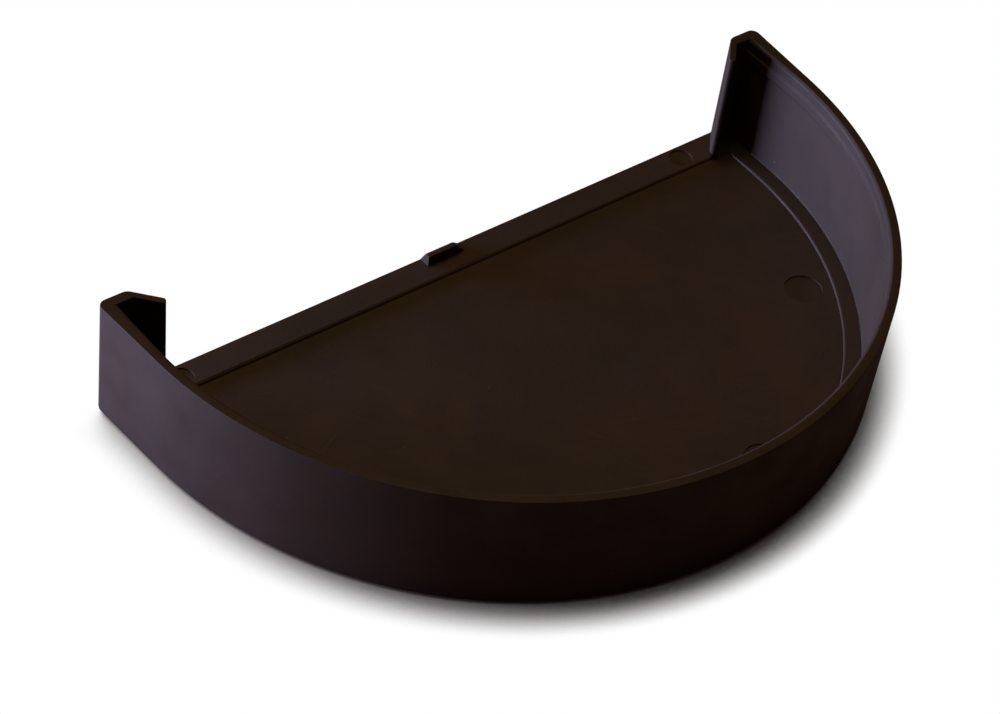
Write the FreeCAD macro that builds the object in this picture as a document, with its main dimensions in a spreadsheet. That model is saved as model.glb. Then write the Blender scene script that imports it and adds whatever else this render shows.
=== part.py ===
# Half-round gutter end cap, one injection moulding in rigid plastic. Millimetres.
# It lies on its D-shaped end plate, with the rim standing up around the plate's round side.
# X runs along the straight edge, Y towards it and Z up, away from the plate's outer face.
# The origin is on that outer face, halfway along and halfway across the cap.
import FreeCAD, Part
import os
import Sketcher
from FreeCAD import Vector

doc = FreeCAD.newDocument("GutterEndCap")

# Driving dimensions: name, value and meaning.
sizes = [
    ("rimRadius", 65.0, "outside radius of the rim at its open edge"),
    ("sideRise", 11.8, "arc's centre to the straight edge"),
    ("sideSpread", 3.2, "lean of each straight side away from the middle, in degrees"),
    ("rimHeight", 22.4, "plate's outer face to the rim's open edge"),
    ("rimWall", 1.9, "wall of the rim round its arc"),
    ("draftAngle", 0.85, "lean of both faces of the rim, in degrees"),
    ("leadIn", 0.45, "chamfer inside the rim's open edge"),
    ("beadDrop", 3.15, "middle of the bead below the open edge"),
    ("beadTall", 2.1, "height of the bead"),
    ("beadProud", 0.25, "how far the bead stands out of the wall, and the rise of its flanks"),
    ("plateThick", 1.6, "plate along its ledge and its straight edge"),
    ("floorStep", 0.45, "how far the middle of the plate lies lower"),
    ("ledgeWidth", 3.0, "ledge along the foot of the rim"),
    ("stripWidth", 5.3, "strip along the straight edge"),
    ("lipRun", 5.3, "lip along the straight edge, from the outside of the rim"),
    ("lipWall", 1.8, "wall of the lip"),
    ("barbAngle", 47.0, "turn of the barb from the straight edge, in degrees"),
    ("barbLength", 6.3, "outer face of the barb"),
    ("barbWall", 1.1, "wall of the barb"),
    ("tabLength", 7.6, "foot of the tab along the straight edge"),
    ("tabDeep", 2.1, "foot of the tab across the strip"),
    ("tabTall", 2.0, "tab above the strip"),
    ("tabOffset", 0.85, "middle of the tab's foot to the right of the cap's middle"),
    ("tabSlope", 2.0, "how far the tab's right end leans back"),
    ("tabRamp", 1.1, "how far the tab's back leans in"),
    ("cornerRound", 1.4, "radius of the rim's two upright corners"),
    ("edgeRound", 1.2, "radius round the plate's outer face"),
    ("footRound", 0.5, "radius in the foot of the rim"),
    ("markRadius", 3.25, "ejector marks on the floor"),
    ("markCircle", 54.7, "circle through the floor marks, about the arc's centre"),
    ("markHigh", 29.0, "upper floor marks below the arc's centre line, in degrees"),
    ("markLow", 73.0, "lower floor marks below the arc's centre line, in degrees"),
    ("stripMarkRadius", 2.1, "ejector marks on the strip"),
    ("stripMarkReach", 51.3, "strip marks from the cap's middle"),
    ("markDepth", 0.25, "depth of all ejector marks"),
]

sheet = doc.addObject("Spreadsheet::Sheet", "dims")
for row, (alias, value, meaning) in enumerate(sizes, start=1):
    sheet.set("A%d" % row, alias)
    sheet.set("B%d" % row, str(value))
    sheet.set("C%d" % row, meaning)
    sheet.setAlias("B%d" % row, alias)
doc.recompute()


# Heights and reaches that several features share, as formulas of the sheet's cells.
def outerAt(height):
    return "dims.rimRadius - (dims.rimHeight - (%s)) * tan(dims.draftAngle)" % height


def innerAt(height):
    return outerAt(height) + " - dims.rimWall"


floorTop = "dims.plateThick - dims.floorStep"
footReach = innerAt("dims.plateThick")
ledgeReach = footReach + " - dims.ledgeWidth"
leadFoot = "dims.rimHeight - dims.leadIn"
beadTop = "dims.rimHeight - dims.beadDrop + dims.beadTall / 2"
beadFoot = beadTop + " - dims.beadTall"
lipFace = "dims.sideRise - dims.lipWall"
stripFace = "dims.sideRise - dims.stripWidth"
cornerReach = "dims.rimRadius / cos(dims.sideSpread) + dims.sideRise * tan(dims.sideSpread)"
kneeReach = cornerReach + " - dims.lipRun"


def sizeOf(formula):
    return float(sheet.evalExpression(formula))


def originPlane(body, role):
    return next(item for item in body.Origin.OriginFeatures if item.Role == role)


def sketchOn(body, name, role, height=None):
    sketch = body.newObject("Sketcher::SketchObject", name)
    sketch.AttachmentSupport = [(originPlane(body, role), "")]
    sketch.MapMode = "FlatFace"
    if height:
        sketch.setExpression("AttachmentOffset.Base.z", height)
    return sketch


# Ties one sketch measure to a formula.
def bind(sketch, formula, kind, *parts):
    index = sketch.addConstraint(Sketcher.Constraint(kind, *parts, sizeOf(formula)))
    sketch.setExpression("Constraints[%d]" % index, formula)


# Ties an end of a sketch edge to a place measured from the sketch's origin.
def holdPoint(sketch, edge, end, across, along):
    for kind, formula, axis in (("DistanceX", across, -2), ("DistanceY", along, -1)):
        if formula is None:
            continue
        if formula == "0":
            sketch.addConstraint(Sketcher.Constraint("PointOnObject", edge, end, axis))
        else:
            bind(sketch, formula, kind, -1, 1, edge, end)


# Closed outline through the corners. An edge named in arcCentres is the shorter arc about that
# centre, which leaves only the height of its far end to be held.
def outline(sketch, corners, arcCentres=None):
    arcCentres = arcCentres or {}
    points = [Vector(sizeOf(across), sizeOf(along), 0) for across, along in corners]
    count = len(points)
    edgeEnds = []
    for index, start in enumerate(points):
        finish = points[(index + 1) % count]
        if index in arcCentres:
            edgeEnds.append(addArc(sketch, start, finish, arcCentres[index]))
        else:
            sketch.addGeometry(Part.LineSegment(start, finish), False)
            edgeEnds.append((1, 2))
    for index in range(count):
        after = (index + 1) % count
        first, last = edgeEnds[index]
        sketch.addConstraint(Sketcher.Constraint("Coincident", index, last, after, edgeEnds[after][0]))
        across, along = corners[index]
        holdPoint(sketch, index, first, None if index - 1 in arcCentres else across, along)
    for index, centre in arcCentres.items():
        holdPoint(sketch, index, 3, *centre)


# Sketch arcs run anticlockwise, so one that turns the other way has its ends swapped.
def addArc(sketch, start, finish, centre):
    middle = Vector(*[sizeOf(formula) for formula in centre], 0)
    circle = Part.Circle(middle, Vector(0, 0, 1), start.distanceToPoint(middle))
    clockwise = (start - middle).cross(finish - middle).z < -0.001
    first, last = (finish, start) if clockwise else (start, finish)
    sketch.addGeometry(Part.ArcOfCircle(circle, circle.parameter(first), circle.parameter(last)), False)
    return (2, 1) if clockwise else (1, 2)


def drawCircles(sketch, places, radius):
    for index, (across, along) in enumerate(places):
        middle = Vector(sizeOf(across), sizeOf(along), 0)
        sketch.addGeometry(Part.Circle(middle, Vector(0, 0, 1), sizeOf(radius)), False)
        holdPoint(sketch, index, 3, across, along)
        bind(sketch, radius, "Radius", index)


# A pad adds its sketch's outline along the sketch's normal, and a pocket cuts against it.
def extrude(body, kind, name, sketch, length, reverse=False):
    feature = body.newObject("PartDesign::" + kind, name)
    feature.Profile = sketch
    feature.setExpression("Length", length)
    feature.Reversed = reverse
    return feature


# Turns a section about the upright axis, round the cap's curved side.
def turn(body, kind, name, sketch, angle):
    feature = body.newObject("PartDesign::" + kind, name)
    feature.Profile = sketch
    feature.ReferenceAxis = (sketch, ["V_Axis"])
    feature.setExpression("Angle", angle)
    feature.Reversed = True
    return feature


# Section plane through the upright axis and the end of the outer arc, where a straight side begins.
def sketchAtArcEnd(body, name):
    sketch = sketchOn(body, name, "XZ_Plane")
    lean = FreeCAD.Rotation(Vector(0, 1, 0), -sizeOf("dims.sideSpread"))
    sketch.AttachmentOffset = FreeCAD.Placement(Vector(), lean)
    sketch.setExpression("AttachmentOffset.Rotation.Angle", "-dims.sideSpread")
    return sketch


def mirror(body, name, originals):
    feature = body.newObject("PartDesign::Mirrored", name)
    feature.Originals = originals
    feature.MirrorPlane = (originPlane(body, "YZ_Plane"), [""])
    body.Tip = feature
    return feature


def fillet(body, name, radius, wanted):
    doc.recompute()
    base = body.Tip
    edges = ["Edge%d" % (index + 1) for index, edge in enumerate(base.Shape.Edges) if wanted(edge)]
    feature = body.newObject("PartDesign::Fillet", name)
    feature.Base = (base, edges)
    feature.setExpression("Radius", radius)
    body.Tip = feature
    return feature


def near(one, other):
    return abs(one - other) < 0.01


# The outer form: a solid D whose straight sides run on from the ends of its arc and spread a little.
# It is trimmed along the straight edge, and rounded at its corners and its outer face.
def addOuterForm(body):
    def drawSection(name, inner):
        sketch = sketchAtArcEnd(body, name)
        outline(sketch, [(inner, "0"), (outerAt("0"), "0"), ("dims.rimRadius", "dims.rimHeight"),
                         (inner, "dims.rimHeight")])
        return sketch

    turn(body, "Revolution", "OuterArc", drawSection("OuterArcSection", "0"), "180 - 2 * dims.sideSpread")
    run = "(dims.sideRise + dims.rimRadius * sin(dims.sideSpread)) / cos(dims.sideSpread)"
    side = drawSection("OuterSideSection", "-dims.sideRise")
    mirror(body, "OuterSides", [extrude(body, "Pad", "OuterSide", side, run, reverse=True)])
    beyond = sketchOn(body, "StraightEdgePlan", "XY_Plane", "dims.rimHeight")
    far, past = "2 * dims.rimRadius", "2 * dims.sideRise"
    outline(beyond, [("-" + far, "dims.sideRise"), (far, "dims.sideRise"), (far, past), ("-" + far, past)])
    extrude(body, "Pocket", "StraightEdge", beyond, "dims.rimHeight")
    rise = sizeOf("dims.sideRise")
    tall = sizeOf("dims.rimHeight") / 2

    def corner(edge):
        return edge.BoundBox.ZLength > tall and near(edge.BoundBox.YMin, rise)

    def underside(edge):
        return edge.BoundBox.ZMax < 0.01

    fillet(body, "UprightCorners", "dims.cornerRound", corner)
    fillet(body, "OuterFaceEdge", "dims.edgeRound", underside)


# Right half of the hollow's upright section: floor, rounded foot, leaning wall, bead and lead-in.
def drawHollow(sketch):
    wallFoot = "dims.plateThick + dims.footRound * (1 - sin(dims.draftAngle))"
    footMiddle = "%s - dims.footRound * cos(dims.draftAngle)" % innerAt(wallFoot)
    corners = [
        ("0", "dims.plateThick"),
        (footMiddle, "dims.plateThick"),
        (innerAt(wallFoot), wallFoot),
        (innerAt(beadFoot), beadFoot),
        (innerAt(beadFoot) + " - dims.beadProud", beadFoot + " + dims.beadProud"),
        (innerAt(beadTop) + " - dims.beadProud", beadTop + " - dims.beadProud"),
        (innerAt(beadTop), beadTop),
        (innerAt(leadFoot), leadFoot),
        ("dims.rimRadius - dims.rimWall + dims.leadIn", "dims.rimHeight"),
        ("0", "dims.rimHeight"),
    ]
    outline(sketch, corners, {1: (footMiddle, "dims.plateThick + dims.footRound")})


# The hollow: half a turn of its section, then the same section straight up to the lips.
def addHollow(body):
    turned = sketchOn(body, "HollowSection", "XZ_Plane")
    drawHollow(turned)
    turn(body, "Groove", "HollowArc", turned, "180")
    straight = sketchOn(body, "HollowSideSection", "XZ_Plane")
    drawHollow(straight)
    side = extrude(body, "Pocket", "HollowSide", straight, lipFace)
    mirror(body, "HollowBothSides", [side])


# The middle of the plate lies lower, inside a ledge and a strip of even height.
def addFloor(body):
    sketch = sketchOn(body, "FloorPlan", "XY_Plane", "dims.plateThick")
    corners = [("-(%s)" % ledgeReach, "0"), (ledgeReach, "0"), (ledgeReach, stripFace),
               ("-(%s)" % ledgeReach, stripFace)]
    outline(sketch, corners, {0: ("0", "0")})
    extrude(body, "Pocket", "Floor", sketch, "dims.floorStep")


# The straight side is open down to the plate between the two lips.
def addOpening(body):
    sketch = sketchOn(body, "OpeningPlan", "XY_Plane", "dims.rimHeight")
    beyond = "dims.sideRise + dims.lipWall"
    outline(sketch, [("-(%s)" % kneeReach, stripFace), (kneeReach, stripFace), (kneeReach, beyond),
                     ("-(%s)" % kneeReach, beyond)])
    extrude(body, "Pocket", "Opening", sketch, "dims.rimHeight - dims.plateThick")


# From the end of each lip a thinner barb slants back into the cap.
def addBarbs(body):
    sketch = sketchOn(body, "BarbPlan", "XY_Plane", floorTop)
    tip = ("%s - dims.barbLength * cos(dims.barbAngle)" % kneeReach,
           "dims.sideRise - dims.barbLength * sin(dims.barbAngle)")
    innerTip = ("%s + dims.barbWall * sin(dims.barbAngle)" % tip[0],
                "%s - dims.barbWall * cos(dims.barbAngle)" % tip[1])
    run = "(dims.lipWall - dims.barbWall * cos(dims.barbAngle)) / tan(dims.barbAngle)"
    innerKnee = ("%s + dims.barbWall * sin(dims.barbAngle) - %s" % (kneeReach, run), lipFace)
    root = kneeReach + " + dims.lipWall"
    outline(sketch, [(root, "dims.sideRise"), (kneeReach, "dims.sideRise"), tip, innerTip, innerKnee,
                     (root, lipFace)])
    barb = extrude(body, "Pad", "Barb", sketch, "dims.rimHeight - (%s)" % floorTop)
    mirror(body, "BothBarbs", [barb])


# The tab on the strip: flush with the straight edge, its back and its right end sloped.
def addTab(body):
    tab = body.newObject("PartDesign::AdditiveWedge", "Tab")
    tab.AttachmentSupport = [(originPlane(body, "XZ_Plane"), "")]
    tab.MapMode = "FlatFace"
    left = "dims.tabOffset - dims.tabLength / 2"
    right = "dims.tabOffset + dims.tabLength / 2"
    front = "dims.tabDeep - dims.sideRise"
    limits = {
        "Xmin": left, "Xmax": right, "X2min": left, "X2max": right + " - dims.tabSlope",
        "Ymin": "dims.plateThick", "Ymax": "dims.plateThick + dims.tabTall",
        "Zmin": "-dims.sideRise", "Zmax": front, "Z2min": "dims.tabRamp - dims.sideRise", "Z2max": front,
    }
    for name, formula in limits.items():
        tab.setExpression(name, formula)


# Shallow round marks left by the ejector pins, on the floor and on the strip.
def addMarks(body):
    floorMarks = sketchOn(body, "FloorMarkPlan", "XY_Plane", floorTop)
    places = [("dims.markCircle * cos(%s)" % angle, "-dims.markCircle * sin(%s)" % angle)
              for angle in ("dims.markHigh", "dims.markLow")]
    drawCircles(floorMarks, places, "dims.markRadius")
    stripMarks = sketchOn(body, "StripMarkPlan", "XY_Plane", "dims.plateThick")
    drawCircles(stripMarks, [("dims.stripMarkReach", "dims.sideRise - dims.stripWidth / 2")],
                "dims.stripMarkRadius")
    cuts = [extrude(body, "Pocket", "FloorMarks", floorMarks, "dims.markDepth"),
            extrude(body, "Pocket", "StripMarks", stripMarks, "dims.markDepth")]
    mirror(body, "MarksBothSides", cuts)


def buildEndCap():
    body = doc.addObject("PartDesign::Body", "end_cap")
    body.Label = "end_cap"
    body.setExpression("Placement.Base.y", "(dims.rimRadius - dims.sideRise) / 2")
    addOuterForm(body)
    addHollow(body)
    addFloor(body)
    addOpening(body)
    addBarbs(body)
    addTab(body)
    addMarks(body)
    doc.recompute()
    return body


subParts = [buildEndCap()]

for item in doc.Objects:
    if "Invalid" in item.State or "Error" in item.State:
        raise RuntimeError("%s failed to build" % item.Label)

os.makedirs("parts", exist_ok=True)
for subPart in subParts:
    shape = subPart.Shape
    if shape.isNull() or not shape.isValid():
        raise RuntimeError("%s has no sound shape" % subPart.Label)
    shape.exportStep("parts/%s.step" % subPart.Label)
    box = shape.optimalBoundingBox()
    print("%s: %d solid, %.1f mm3, %.2f x %.2f x %.2f mm" % (
        subPart.Label, len(shape.Solids), shape.Volume, box.XLength, box.YLength, box.ZLength))
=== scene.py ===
# Half-round gutter end cap, one moulding in dark brown plastic, lying on its outer face.
# Metres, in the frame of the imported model: X along the straight edge, Y towards it, Z up.
import math

import bmesh
import bpy
from mathutils import Matrix, Vector


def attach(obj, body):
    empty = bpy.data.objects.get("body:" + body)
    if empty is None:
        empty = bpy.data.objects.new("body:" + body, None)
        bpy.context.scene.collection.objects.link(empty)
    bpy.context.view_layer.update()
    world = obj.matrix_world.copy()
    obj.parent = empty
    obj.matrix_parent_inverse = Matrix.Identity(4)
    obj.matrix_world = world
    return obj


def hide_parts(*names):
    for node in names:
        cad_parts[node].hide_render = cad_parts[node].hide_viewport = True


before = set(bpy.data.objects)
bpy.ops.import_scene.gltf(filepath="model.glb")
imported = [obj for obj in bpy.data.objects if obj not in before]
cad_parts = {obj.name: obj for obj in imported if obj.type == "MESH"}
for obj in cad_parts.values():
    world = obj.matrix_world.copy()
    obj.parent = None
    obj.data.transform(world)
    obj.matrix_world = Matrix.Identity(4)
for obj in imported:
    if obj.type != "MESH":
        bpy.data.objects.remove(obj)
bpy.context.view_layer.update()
mm = 0.001
print("frame loaded")


def toLinear(hexColour):
    parts = [int(hexColour[i:i + 2], 16) / 255 for i in (1, 3, 5)]
    return [c / 12.92 if c <= 0.04045 else ((c + 0.055) / 1.055) ** 2.4 for c in parts] + [1.0]


# Adds a shader node, sets its properties and its sockets, and links it. A link is (node, output name).
# A socket goes by its name, with _ for a space, or by its number, as in in0.
def addNode(tree, kind, settings=None, **inputs):
    node = tree.nodes.new(kind)
    for key, value in (settings or {}).items():
        setattr(node, key, value)
    for key, value in inputs.items():
        numbered = key.startswith("in") and key[2:].isdigit()
        socket = node.inputs[int(key[2:]) if numbered else key.replace("_", " ")]
        if isinstance(value, tuple) and isinstance(value[0], bpy.types.Node):
            tree.links.new(value[0].outputs[value[1]], socket)
        else:
            socket.default_value = value
    return node


def newMaterial(name):
    material = bpy.data.materials.new(name)
    material.use_nodes = True
    material.node_tree.nodes.clear()
    return material, material.node_tree


# The cap in mm and degrees, in the arc's own frame: the arc's centre is on the Z axis, and the outer
# face at z = 0.
cap = {
    "rimRadius": 65.0,  # outside, at the open edge
    "rise": 11.8,  # arc's centre to the straight edge
    "spread": 3.2,  # lean of the outer sides away from the middle
    "height": 22.4,
    "wall": 1.9,
    "draft": 0.85,
    "leadIn": 0.45,
    "beadDrop": 3.15,  # middle of the bead below the open edge
    "beadTall": 2.1,
    "beadProud": 0.25,
    "plate": 1.6,
    "floorStep": 0.45,
    "ledge": 3.0,
    "strip": 5.3,
    "lipRun": 5.3,
    "lipWall": 1.8,
    "barbTurn": 47.0,
    "barbLength": (5.8, 6.9, 6.2),  # at its foot, just above it and at the open edge
    "barbFoot": 0.7,  # height over which the free end is drawn in, so that it stands on the strip
    "barbWall": 1.1,
    "tabLength": 7.6,
    "tabDeep": 2.1,
    "tabTall": 2.0,
    "tabOffset": 0.85,
    "tabSlope": 2.0,
    "tabRamp": 1.1,
    "floorMark": (3.25, 54.7, (29.0, 73.0)),  # radius, circle through the marks, angles
    "stripMark": (2.1, 51.3),  # radius, distance from the middle
    "markDepth": 0.25,
    "cornerRound": 1.45,
    "undersideRound": 1.2,
    "footRound": 0.2,
    "kneeRound": 0.7,
    "barbEdge": 0.48,
    "ledgeEdge": 0.32,
    "stepSlope": 0.1,  # how far the strip's step leans out at its foot
    "beadEdge": 0.09,
    "edge": 0.14,
    "sharpFold": 24.0,  # edges that fold more than this are rounded
    "shadeFold": 40.0,  # and those that fold more than this are shaded as edges
    "arcSteps": 96,
    "middle": 26.6,  # arc's centre from the middle of the cap, along Y
}
floorTop, plateTop, top = cap["plate"] - cap["floorStep"], cap["plate"], cap["height"]
beadTop = top - cap["beadDrop"] + cap["beadTall"] / 2
beadFoot = beadTop - cap["beadTall"]
stripY, lipY, edgeY = cap["rise"] - cap["strip"], cap["rise"] - cap["lipWall"], cap["rise"]
lean, barbTurn = math.radians(cap["spread"]), math.radians(cap["barbTurn"])
lipTopInside = cap["rimRadius"] - cap["wall"] + cap["leadIn"]
# Where a lip turns into its barb, and the stretch in which the barb's free end lies.
knee = cap["rimRadius"] / math.cos(lean) + edgeY * math.tan(lean) - cap["lipRun"]
barbEndFrom, barbEndTo = knee - 6, knee - 2
# Corners and edges are found by where they lie, just inside or outside the rim's outer face, and by length.
sideFrom, beyond = cap["rimRadius"] - 1, cap["rimRadius"] + 1
arcStep = 8  # longer than any edge along the arc
slack = 0.01


def outerAt(z):
    return cap["rimRadius"] - (top - z) * math.tan(math.radians(cap["draft"]))


def innerAt(z):
    return outerAt(z) - cap["wall"]


def near(a, b, reach=0.001):
    return abs(a - b) < reach


ledgeReach = innerAt(plateTop) - cap["ledge"]
# Profile of the rounded edge of the step down to the floor: how far out from its face, and height.
stepRound = [(cap["ledgeEdge"] * (1 - math.cos(turn)), plateTop - cap["ledgeEdge"] * (1 - math.sin(turn)))
             for turn in (i * math.pi / 8 for i in range(5))]


def corner(bm, x, y, z):
    return min(bm.verts, key=lambda v: (v.co - Vector((x, y, z))).length)


# Runs the open section on from one place along the sides to another.
def runOn(bm, fromY, toY, wanted):
    chain = [e for e in bm.edges
             if e.is_boundary and all(near(v.co.y, fromY) and wanted(v.co) for v in e.verts)]
    for item in bmesh.ops.extrude_edge_only(bm, edges=chain)["geom"]:
        if isinstance(item, bmesh.types.BMVert):
            item.co.y = toY


# The rim's section, spun through half a turn and run straight up both sides.
def spinRim(bm):
    proud = cap["beadProud"]
    section = [(ledgeReach, floorTop)] + [(ledgeReach + out, z) for out, z in stepRound] + [
        (innerAt(plateTop), plateTop), (innerAt(beadFoot), beadFoot),
        (innerAt(beadFoot) - proud, beadFoot + proud), (innerAt(beadTop) - proud, beadTop - proud),
        (innerAt(beadTop), beadTop), (innerAt(top - cap["leadIn"]), top - cap["leadIn"]),
        (lipTopInside, top), (cap["rimRadius"], top), (outerAt(0), 0.0),
    ]
    verts = [bm.verts.new((reach, 0, z)) for reach, z in section]
    edges = [bm.edges.new(pair) for pair in zip(verts, verts[1:])]
    bmesh.ops.spin(bm, geom=verts + edges, cent=(0, 0, 0), axis=(0, 0, 1), dvec=(0, 0, 0), angle=-math.pi,
                   steps=cap["arcSteps"], use_merge=False, use_duplicate=False)
    runOn(bm, 0, stripY, lambda co: True)
    runOn(bm, stripY, lipY, lambda co: co.z > plateTop - slack and abs(co.x) < sideFrom)
    runOn(bm, stripY, edgeY, lambda co: abs(co.x) > sideFrom)
    stepEnd = ledgeReach + cap["ledgeEdge"] + slack
    for v in bm.verts:  # the step's rounding turns the corner from the ledge into the strip
        if near(v.co.y, stripY) and v.co.z < plateTop + slack and abs(v.co.x) < stepEnd:
            v.co.y += abs(v.co.x) - ledgeReach if v.co.z > floorTop + slack else -cap["stepSlope"]
    for v in bm.verts:  # the outer sides leave the arc a little early and lean outwards
        reach, outer = math.hypot(v.co.x, min(v.co.y, 0)), outerAt(v.co.z)
        if near(reach, outer, 5 * slack) and v.co.y > -outer * math.sin(lean):
            v.co.x = math.copysign((outer + v.co.y * math.sin(lean)) / math.cos(lean), v.co.x)


# One lip with its barb, whose free end leans, and the end of the rim's wall that meets it.
def addLip(bm, side):
    back = (cap["lipWall"] - cap["barbWall"] * math.cos(barbTurn)) / math.tan(barbTurn)
    across = Vector((math.sin(barbTurn), -math.cos(barbTurn))) * cap["barbWall"]
    rows = []
    for length, z in zip(cap["barbLength"], (plateTop, plateTop + cap["barbFoot"], top)):
        tip = Vector((knee - length * math.cos(barbTurn), edgeY - length * math.sin(barbTurn)))
        plan = [(knee + across.x - back, lipY), tip + across, tip, (knee, edgeY)]
        rows.append([bm.verts.new((side * x, y, z)) for x, y in plan])
    for low, high in zip(rows, rows[1:]):
        for i in range(3):
            bm.faces.new((low[i], low[i + 1], high[i + 1], high[i]))
    inside = innerAt(plateTop) - 10 * slack
    wallEnd = [v for v in bm.verts if near(v.co.y, lipY) and v.co.x * side > inside]
    wallEnd.sort(key=lambda v: v.co.z)
    bm.faces.new(wallEnd + [row[0] for row in reversed(rows)])
    ends = [corner(bm, side * x, y, top)
            for x, y in ((lipTopInside, stripY), (beyond, stripY), (beyond, edgeY))]
    bm.faces.new([wallEnd[-1]] + ends + rows[-1][::-1])
    return [row[3] for row in rows] + [ends[2]]


# The tab's foot, its four walls and its top.
def addTab(bm):
    left, right = cap["tabOffset"] - cap["tabLength"] / 2, cap["tabOffset"] + cap["tabLength"] / 2
    front, ramp = edgeY - cap["tabDeep"], edgeY - cap["tabRamp"]
    slope, peak = right - cap["tabSlope"], plateTop + cap["tabTall"]
    footPlan = ((left, edgeY), (left, front), (right, front), (right, edgeY))
    crestPlan = ((left, ramp), (left, front), (slope, front), (slope, ramp))
    foot = [bm.verts.new((x, y, plateTop)) for x, y in footPlan]
    crest = [bm.verts.new((x, y, peak)) for x, y in crestPlan]
    for i in range(4):
        j = (i + 1) % 4
        bm.faces.new((foot[i], foot[j], crest[j], crest[i]))
    bm.faces.new(crest)
    return foot


# The mould's ejector marks: height, radius and places of those on the floor and on the strip.
def markSets():
    radius, circle, angles = cap["floorMark"]
    turns = [math.radians(angle) for angle in angles]
    yield floorTop, radius, [(side * circle * math.cos(turn), -circle * math.sin(turn))
                             for side in (1, -1) for turn in turns]
    radius, reach = cap["stripMark"]
    yield plateTop, radius, [(side * reach, edgeY - cap["strip"] / 2) for side in (1, -1)]


def onMark(edge):
    return any(all(near(math.dist(v.co[:2], centre), radius, slack) for v in edge.verts)
               for _, radius, centres in markSets() for centre in centres)


# Closes the open level face at a height, with a shallow round mark sunk at each place.
def closeLevel(bm, z, radius, centres):
    edges = [e for e in bm.edges if e.is_boundary and all(near(v.co.z, z) for v in e.verts)]
    rings = []
    for x, y in centres:
        circle = bmesh.ops.create_circle(bm, cap_ends=False, radius=radius, segments=48,
                                         matrix=Matrix.Translation((x, y, z)))
        rings.append(list(dict.fromkeys(e for v in circle["verts"] for e in v.link_edges)))
    bmesh.ops.triangle_fill(bm, edges=edges + [e for ring in rings for e in ring], use_beauty=True,
                            use_dissolve=False, normal=(0, 0, 1))
    for ring in rings:
        made = bmesh.ops.extrude_edge_only(bm, edges=ring)["geom"]
        for item in made:
            if isinstance(item, bmesh.types.BMVert):
                item.co.z -= cap["markDepth"]
        lowRing = [e for e in made if isinstance(e, bmesh.types.BMEdge) and e.is_boundary]
        bmesh.ops.contextual_create(bm, geom=lowRing)


def bevel(bm, edges, offset, segments):
    bmesh.ops.bevel(bm, geom=edges, offset=offset, offset_type="OFFSET", segments=segments, profile=0.5,
                    affect="EDGES", material=-1, clamp_overlap=False)


def foldAngle(edge):
    return math.degrees(edge.calc_face_angle_signed()) if edge.is_manifold else 0.0


def rise(edge):
    return abs(edge.verts[0].co.z - edge.verts[1].co.z)


def onCorner(edge):  # of the rim's sides with the straight edge
    return rise(edge) > top / 2 and all(near(v.co.y, edgeY) and abs(v.co.x) > sideFrom for v in edge.verts)


def onWallFoot(edge):  # along the ledge, on the inside
    return edge.calc_length() < arcStep and all(
        near(v.co.z, plateTop) and near(math.hypot(v.co.x, min(v.co.y, 0)), innerAt(plateTop), 2 * slack)
        for v in edge.verts)


def onKnee(edge):
    return rise(edge) > 0.5 and all(near(abs(v.co.x), knee) and near(v.co.y, edgeY) for v in edge.verts)


def onBarbEnd(edge):  # its two upright edges
    return rise(edge) > 0.5 and foldAngle(edge) > cap["sharpFold"] and all(
        barbEndFrom < abs(v.co.x) < barbEndTo and v.co.y > 0 and v.co.z > plateTop - slack
        for v in edge.verts)


def onBead(edge):
    return all(beadFoot - 2 * slack < v.co.z < beadTop + 2 * slack for v in edge.verts)


def inFoot(edge):  # the plate's inner corners, and where the tab, lips and barbs stand on it, stay sharp
    return foldAngle(edge) < 0 and all(near(v.co.z, plateTop, 0.5) for v in edge.verts)


# Rounds every edge as the mould does, from the large upright corners to the finest edge.
def roundEdges(bm):
    bevel(bm, [e for e in bm.edges if onCorner(e)], cap["cornerRound"], 8)
    for v in bm.verts:  # the rounded corners end level with both faces
        for level in (0.0, top):
            if near(v.co.z, level, 10 * slack):
                v.co.z = level
    bevel(bm, [e for e in bm.edges if all(near(v.co.z, 0) for v in e.verts)], cap["undersideRound"], 6)
    bevel(bm, [e for e in bm.edges if onWallFoot(e)], cap["footRound"], 4)
    bevel(bm, [e for e in bm.edges if onKnee(e)], cap["kneeRound"], 4)
    bevel(bm, [e for e in bm.edges if onBarbEnd(e)], cap["barbEdge"], 5)
    bevel(bm, [e for e in bm.edges if onBead(e) and near(rise(e), 0) and e.calc_length() < arcStep
               and abs(foldAngle(e)) > cap["sharpFold"]], cap["beadEdge"], 2)
    bevel(bm, [e for e in bm.edges if abs(foldAngle(e)) > cap["sharpFold"]
               and not onBead(e) and not inFoot(e) and not onMark(e)
               and max(v.co.z for v in e.verts) > floorTop + 5 * slack], cap["edge"], 2)


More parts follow.
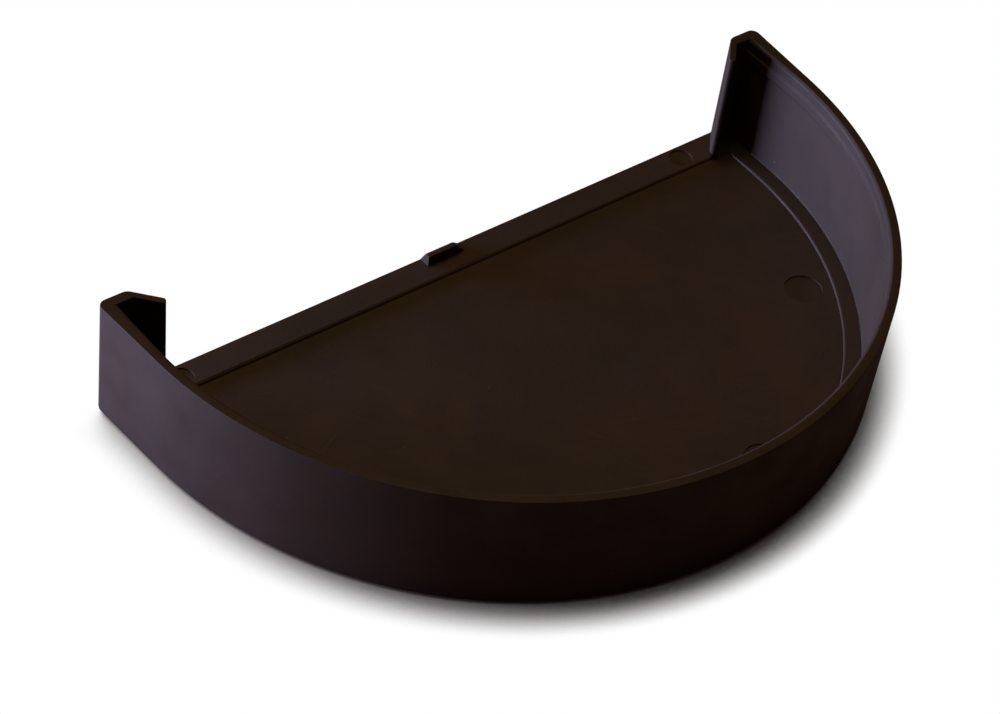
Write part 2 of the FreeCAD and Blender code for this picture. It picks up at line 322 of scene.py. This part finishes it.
def buildCap():
    bm = bmesh.new()
    spinRim(bm)
    right, left = addLip(bm, 1), addLip(bm, -1)
    foot = addTab(bm)
    outerCorners = [corner(bm, -beyond, edgeY, 0), corner(bm, beyond, edgeY, 0)]
    bm.faces.new(outerCorners + right[::-1] + [foot[3], foot[0]] + left)
    stepPoints = [(0, -cap["stepSlope"], floorTop)] + [(out, out, z) for out, z in stepRound]
    rows = [[corner(bm, side * (ledgeReach + out), stripY + along, z) for side in (1, -1)]
            for out, along, z in stepPoints]
    for low, high in zip(rows, rows[1:]):
        bm.faces.new((low[0], low[1], high[1], high[0]))
    outerRing = [e for e in bm.edges if e.is_boundary and all(near(v.co.z, 0) for v in e.verts)]
    bmesh.ops.contextual_create(bm, geom=outerRing)
    for z, radius, centres in markSets():
        closeLevel(bm, z, radius, centres)
    bmesh.ops.recalc_face_normals(bm, faces=bm.faces)
    roundEdges(bm)
    for face in bm.faces:
        face.smooth = True
    for edge in bm.edges:
        edge.smooth = abs(foldAngle(edge)) < cap["shadeFold"]
    place = Matrix.Scale(mm, 4) @ Matrix.Translation((0, cap["middle"], 0))
    bmesh.ops.transform(bm, matrix=place, verts=bm.verts)
    mesh = bpy.data.meshes.new("capMoulding")
    bm.to_mesh(mesh)
    bm.free()
    piece = bpy.data.objects.new("capMoulding", mesh)
    bpy.context.scene.collection.objects.link(piece)
    flatFaces = piece.modifiers.new("flatFaces", "WEIGHTED_NORMAL")  # flat beside their rounded edges
    flatFaces.keep_sharp = True
    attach(piece, "root")
    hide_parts("end_cap")
    return piece


moulding = buildCap()
print("cap built:", len(moulding.data.polygons), "faces")

# ABS or PVC-U, injection moulded in a lightly spark-eroded mould: a satin, faintly grained skin that
# gathers a broad soft highlight, with slightly uneven colour, a few rubbed marks and motes of dust.
finish = {
    # sizes in mm
    "brown": "#443124",
    "brownDeep": "#37271b",
    "mottle": 24.0,  # patches of uneven colour
    "rubbed": "#4f3e31",  # pale bruise of a scratch
    "scratch": (9.0, 0.16),  # length and width
    "scratchTurns": (24, 118, 161),  # degrees
    "scratchRange": (0.80, 0.87),  # of the noise: the higher, the fewer scratches
    "handled": 38.0,  # patches that hands and tools have rubbed
    "dust": "#65574c",
    "moteSpacing": 8.0,
    "moteSize": (0.03, 0.012),  # of the spacing, where a mote begins and where it is full
    "roughness": (0.58, 0.74),
    "sheen": 7.0,  # patches of duller and glossier skin
    "wave": 16.0,  # the skin's slight unevenness
    "waveDepth": 0.25,
    "grain": 0.5,  # coarser than the real 0.1 mm, so that it shows
    "grainDepth": 0.03,
}
plastic, tree = newMaterial("satinMouldedBrown")
spot = (addNode(tree, "ShaderNodeTexCoord"), "Object")
smooth, colours = {"interpolation_type": "SMOOTHSTEP"}, {"data_type": "RGBA"}
larger, times = {"operation": "MAXIMUM"}, {"operation": "MULTIPLY"}
patches = addNode(tree, "ShaderNodeTexNoise", Vector=spot, Scale=1 / (finish["mottle"] * mm), Detail=6.0,
                  Roughness=0.68)
mottle = addNode(tree, "ShaderNodeMapRange", smooth, Value=(patches, "Fac"), From_Min=0.3, From_Max=0.7)
brown = addNode(tree, "ShaderNodeMix", colours, in0=(mottle, "Result"), in6=toLinear(finish["brownDeep"]),
                in7=toLinear(finish["brown"]))

# Short scratches in three directions, only where the cap was handled.
length, width = (size * mm for size in finish["scratch"])
scratchFrom, scratchTo = finish["scratchRange"]
cuts = None
for angle in finish["scratchTurns"]:
    turned = addNode(tree, "ShaderNodeMapping", {"vector_type": "TEXTURE"}, Vector=spot,
                     Rotation=(0.0, 0.0, math.radians(angle)), Scale=(length, width, 2 * width))
    streak = addNode(tree, "ShaderNodeTexNoise", Vector=(turned, "Vector"), Scale=1.0, Detail=0.0)
    cut = addNode(tree, "ShaderNodeMapRange", smooth, Value=(streak, "Fac"), From_Min=scratchFrom,
                  From_Max=scratchTo)
    cuts = addNode(tree, "ShaderNodeMath", larger, in0=(cut, "Result"), in1=(cuts, "Value") if cuts else 0.0)
touch = addNode(tree, "ShaderNodeTexNoise", Vector=spot, Scale=1 / (finish["handled"] * mm), Detail=1.0)
handled = addNode(tree, "ShaderNodeMapRange", smooth, Value=(touch, "Fac"), From_Min=0.46, From_Max=0.62)
scratch = addNode(tree, "ShaderNodeMath", times, in0=(cuts, "Value"), in1=(handled, "Result"))
scratched = addNode(tree, "ShaderNodeMix", colours, in0=(scratch, "Value"), in6=(brown, "Result"),
                    in7=toLinear(finish["rubbed"]))

moteFrom, moteTo = finish["moteSize"]
motes = addNode(tree, "ShaderNodeTexVoronoi", Vector=spot, Scale=1 / (finish["moteSpacing"] * mm))
mote = addNode(tree, "ShaderNodeMapRange", smooth, Value=(motes, "Distance"), From_Min=moteFrom,
               From_Max=moteTo)
dusty = addNode(tree, "ShaderNodeMix", colours, in0=(mote, "Result"), in6=(scratched, "Result"),
                in7=toLinear(finish["dust"]))

glossiest, dullest = finish["roughness"]
sheen = addNode(tree, "ShaderNodeTexNoise", Vector=spot, Scale=1 / (finish["sheen"] * mm), Detail=3.0)
satin = addNode(tree, "ShaderNodeMapRange", Value=(sheen, "Fac"), From_Min=0.3, From_Max=0.7,
                To_Min=glossiest, To_Max=dullest)
swell = addNode(tree, "ShaderNodeTexNoise", Vector=spot, Scale=1 / (finish["wave"] * mm), Detail=1.0)
wave = addNode(tree, "ShaderNodeBump", Height=(swell, "Fac"), Strength=0.5, Distance=finish["waveDepth"] * mm)
pits = addNode(tree, "ShaderNodeTexNoise", Vector=spot, Scale=1 / (finish["grain"] * mm), Detail=2.0)
grain = addNode(tree, "ShaderNodeBump", Height=(pits, "Fac"), Strength=0.4,
                Distance=finish["grainDepth"] * mm, Normal=(wave, "Normal"))
shader = addNode(tree, "ShaderNodeBsdfPrincipled", Base_Color=(dusty, "Result"), Roughness=(satin, "Result"),
                 IOR=1.5, Normal=(grain, "Normal"))
addNode(tree, "ShaderNodeOutputMaterial", Surface=(shader, "BSDF"))
for piece in [moulding] + list(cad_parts.values()):
    piece.data.materials.clear()
    piece.data.materials.append(plastic)
print("plastic made")

# White paper, matt and even: it is white to the camera, and shows its own shade only under the cap's edge,
# through a painted contact shadow drawn by ambient occlusion tilted away from the key.
studio = {
    "floorHalf": 3.0,  # metres
    "floorColour": "#aa8680",
    "shadowReach": 7.0,  # mm from the cap, within which the painted contact shadow lets the floor show its own shade
    "keyward": (0.03, 0.84, 0.54),  # tilts the painted contact shadow to the side away from the key
    "shadowRange": (0.32, 0.98),  # openness at which the floor is fully shaded and fully white
    "mirroredShare": 0.03,  # of the white that the satin plastic mirrors
    "worldColour": "#ffc8a0",
    "worldLevel": 0.028,
}
floorBm = bmesh.new()
bmesh.ops.create_grid(floorBm, x_segments=1, y_segments=1, size=studio["floorHalf"])
floorMesh = bpy.data.meshes.new("floor")
floorBm.to_mesh(floorMesh)
floorBm.free()
floor = bpy.data.objects.new("floor", floorMesh)
bpy.context.scene.collection.objects.link(floor)
paper, tree = newMaterial("whitePaperFloor")
towardX, towardY, towardZ = studio["keyward"]
shadedAt, whiteAt = studio["shadowRange"]
lit = addNode(tree, "ShaderNodeBsdfDiffuse", Color=toLinear(studio["floorColour"]))
white = addNode(tree, "ShaderNodeEmission", Color=(1, 1, 1, 1), Strength=1.0)
path = addNode(tree, "ShaderNodeLightPath")
keyward = addNode(tree, "ShaderNodeCombineXYZ", X=towardX, Y=towardY, Z=towardZ)
# Painted contact shadow: ambient occlusion, tilted away from the key, sets where the floor shows its lit
# shade instead of white.
paintedContactShadow = addNode(tree, "ShaderNodeAmbientOcclusion", {"samples": 16}, Distance=studio["shadowReach"] * mm,
                  Normal=(keyward, "Vector"))
clear = addNode(tree, "ShaderNodeMapRange", smooth, Value=(paintedContactShadow, "AO"), From_Min=shadedAt,
                From_Max=whiteAt)
mirrored = addNode(tree, "ShaderNodeMath", larger, in0=(path, "Is Glossy Ray"),
                   in1=(path, "Is Transmission Ray"))
faint = addNode(tree, "ShaderNodeMath", times, in0=(mirrored, "Value"), in1=studio["mirroredShare"])
seen = addNode(tree, "ShaderNodeMath", larger, in0=(path, "Is Camera Ray"), in1=(faint, "Value"))
share = addNode(tree, "ShaderNodeMath", times, in0=(seen, "Value"), in1=(clear, "Result"))
mixed = addNode(tree, "ShaderNodeMixShader", in0=(share, "Value"), in1=(lit, "BSDF"), in2=(white, "Emission"))
addNode(tree, "ShaderNodeOutputMaterial", Surface=(mixed, "Shader"))
floorMesh.materials.append(paper)
print("floor made")

# A faint warm room, one low cool strip beside the part and a warm box above it.
world = bpy.data.worlds.new("studio")
bpy.context.scene.world = world
world.use_nodes = True
world.node_tree.nodes.clear()
back = addNode(world.node_tree, "ShaderNodeBackground", Color=toLinear(studio["worldColour"]),
               Strength=studio["worldLevel"])
addNode(world.node_tree, "ShaderNodeOutputWorld", Surface=(back, "Background"))

lamps = {
    # name: (place in metres, aim, width, height, watts, colour)
    "keyStrip": ((-0.259, 0.278, 0.026), (0.0, 0.0, 0.012), 0.26, 0.044, 2.8, "#c0caff"),
    "overheadBox": ((0.0, 0.26, 1.0), (0.0, 0.0, 0.0), 0.5, 0.5, 2.0, "#ffdda2"),
}
for name, (stand, aim, width, height, watts, colour) in lamps.items():
    lampData = bpy.data.lights.new(name, "AREA")
    lampData.shape = "RECTANGLE"
    lampData.size, lampData.size_y = width, height
    lampData.energy = watts
    lampData.color = toLinear(colour)[:3]
    lamp = bpy.data.objects.new(name, lampData)
    lamp.location = stand
    lamp.rotation_euler = (Vector(aim) - Vector(stand)).to_track_quat("-Z", "Y").to_euler()
    bpy.context.scene.collection.objects.link(lamp)
print("lamps placed:", len(lamps))

view = {
    "stand": (-248.262, -233.841, 332.592),  # mm
    "aim": (-12.014, 7.147, 10.0),
    "roll": 9.1679,  # degrees
    "lens": 108.912,
    "sensor": 36.0,
}
cameraData = bpy.data.cameras.new("camera")
cameraData.sensor_width = view["sensor"]
cameraData.lens = view["lens"]
camera = bpy.data.objects.new("camera", cameraData)
stand, aim = Vector(view["stand"]) * mm, Vector(view["aim"]) * mm
roll = Matrix.Rotation(math.radians(view["roll"]), 4, "Z")
turn = (aim - stand).to_track_quat("-Z", "Y").to_matrix().to_4x4()
camera.matrix_world = Matrix.Translation(stand) @ turn @ roll
bpy.context.scene.collection.objects.link(camera)
bpy.context.scene.camera = camera
bpy.context.scene.view_settings.view_transform = "Standard"
print("camera placed")
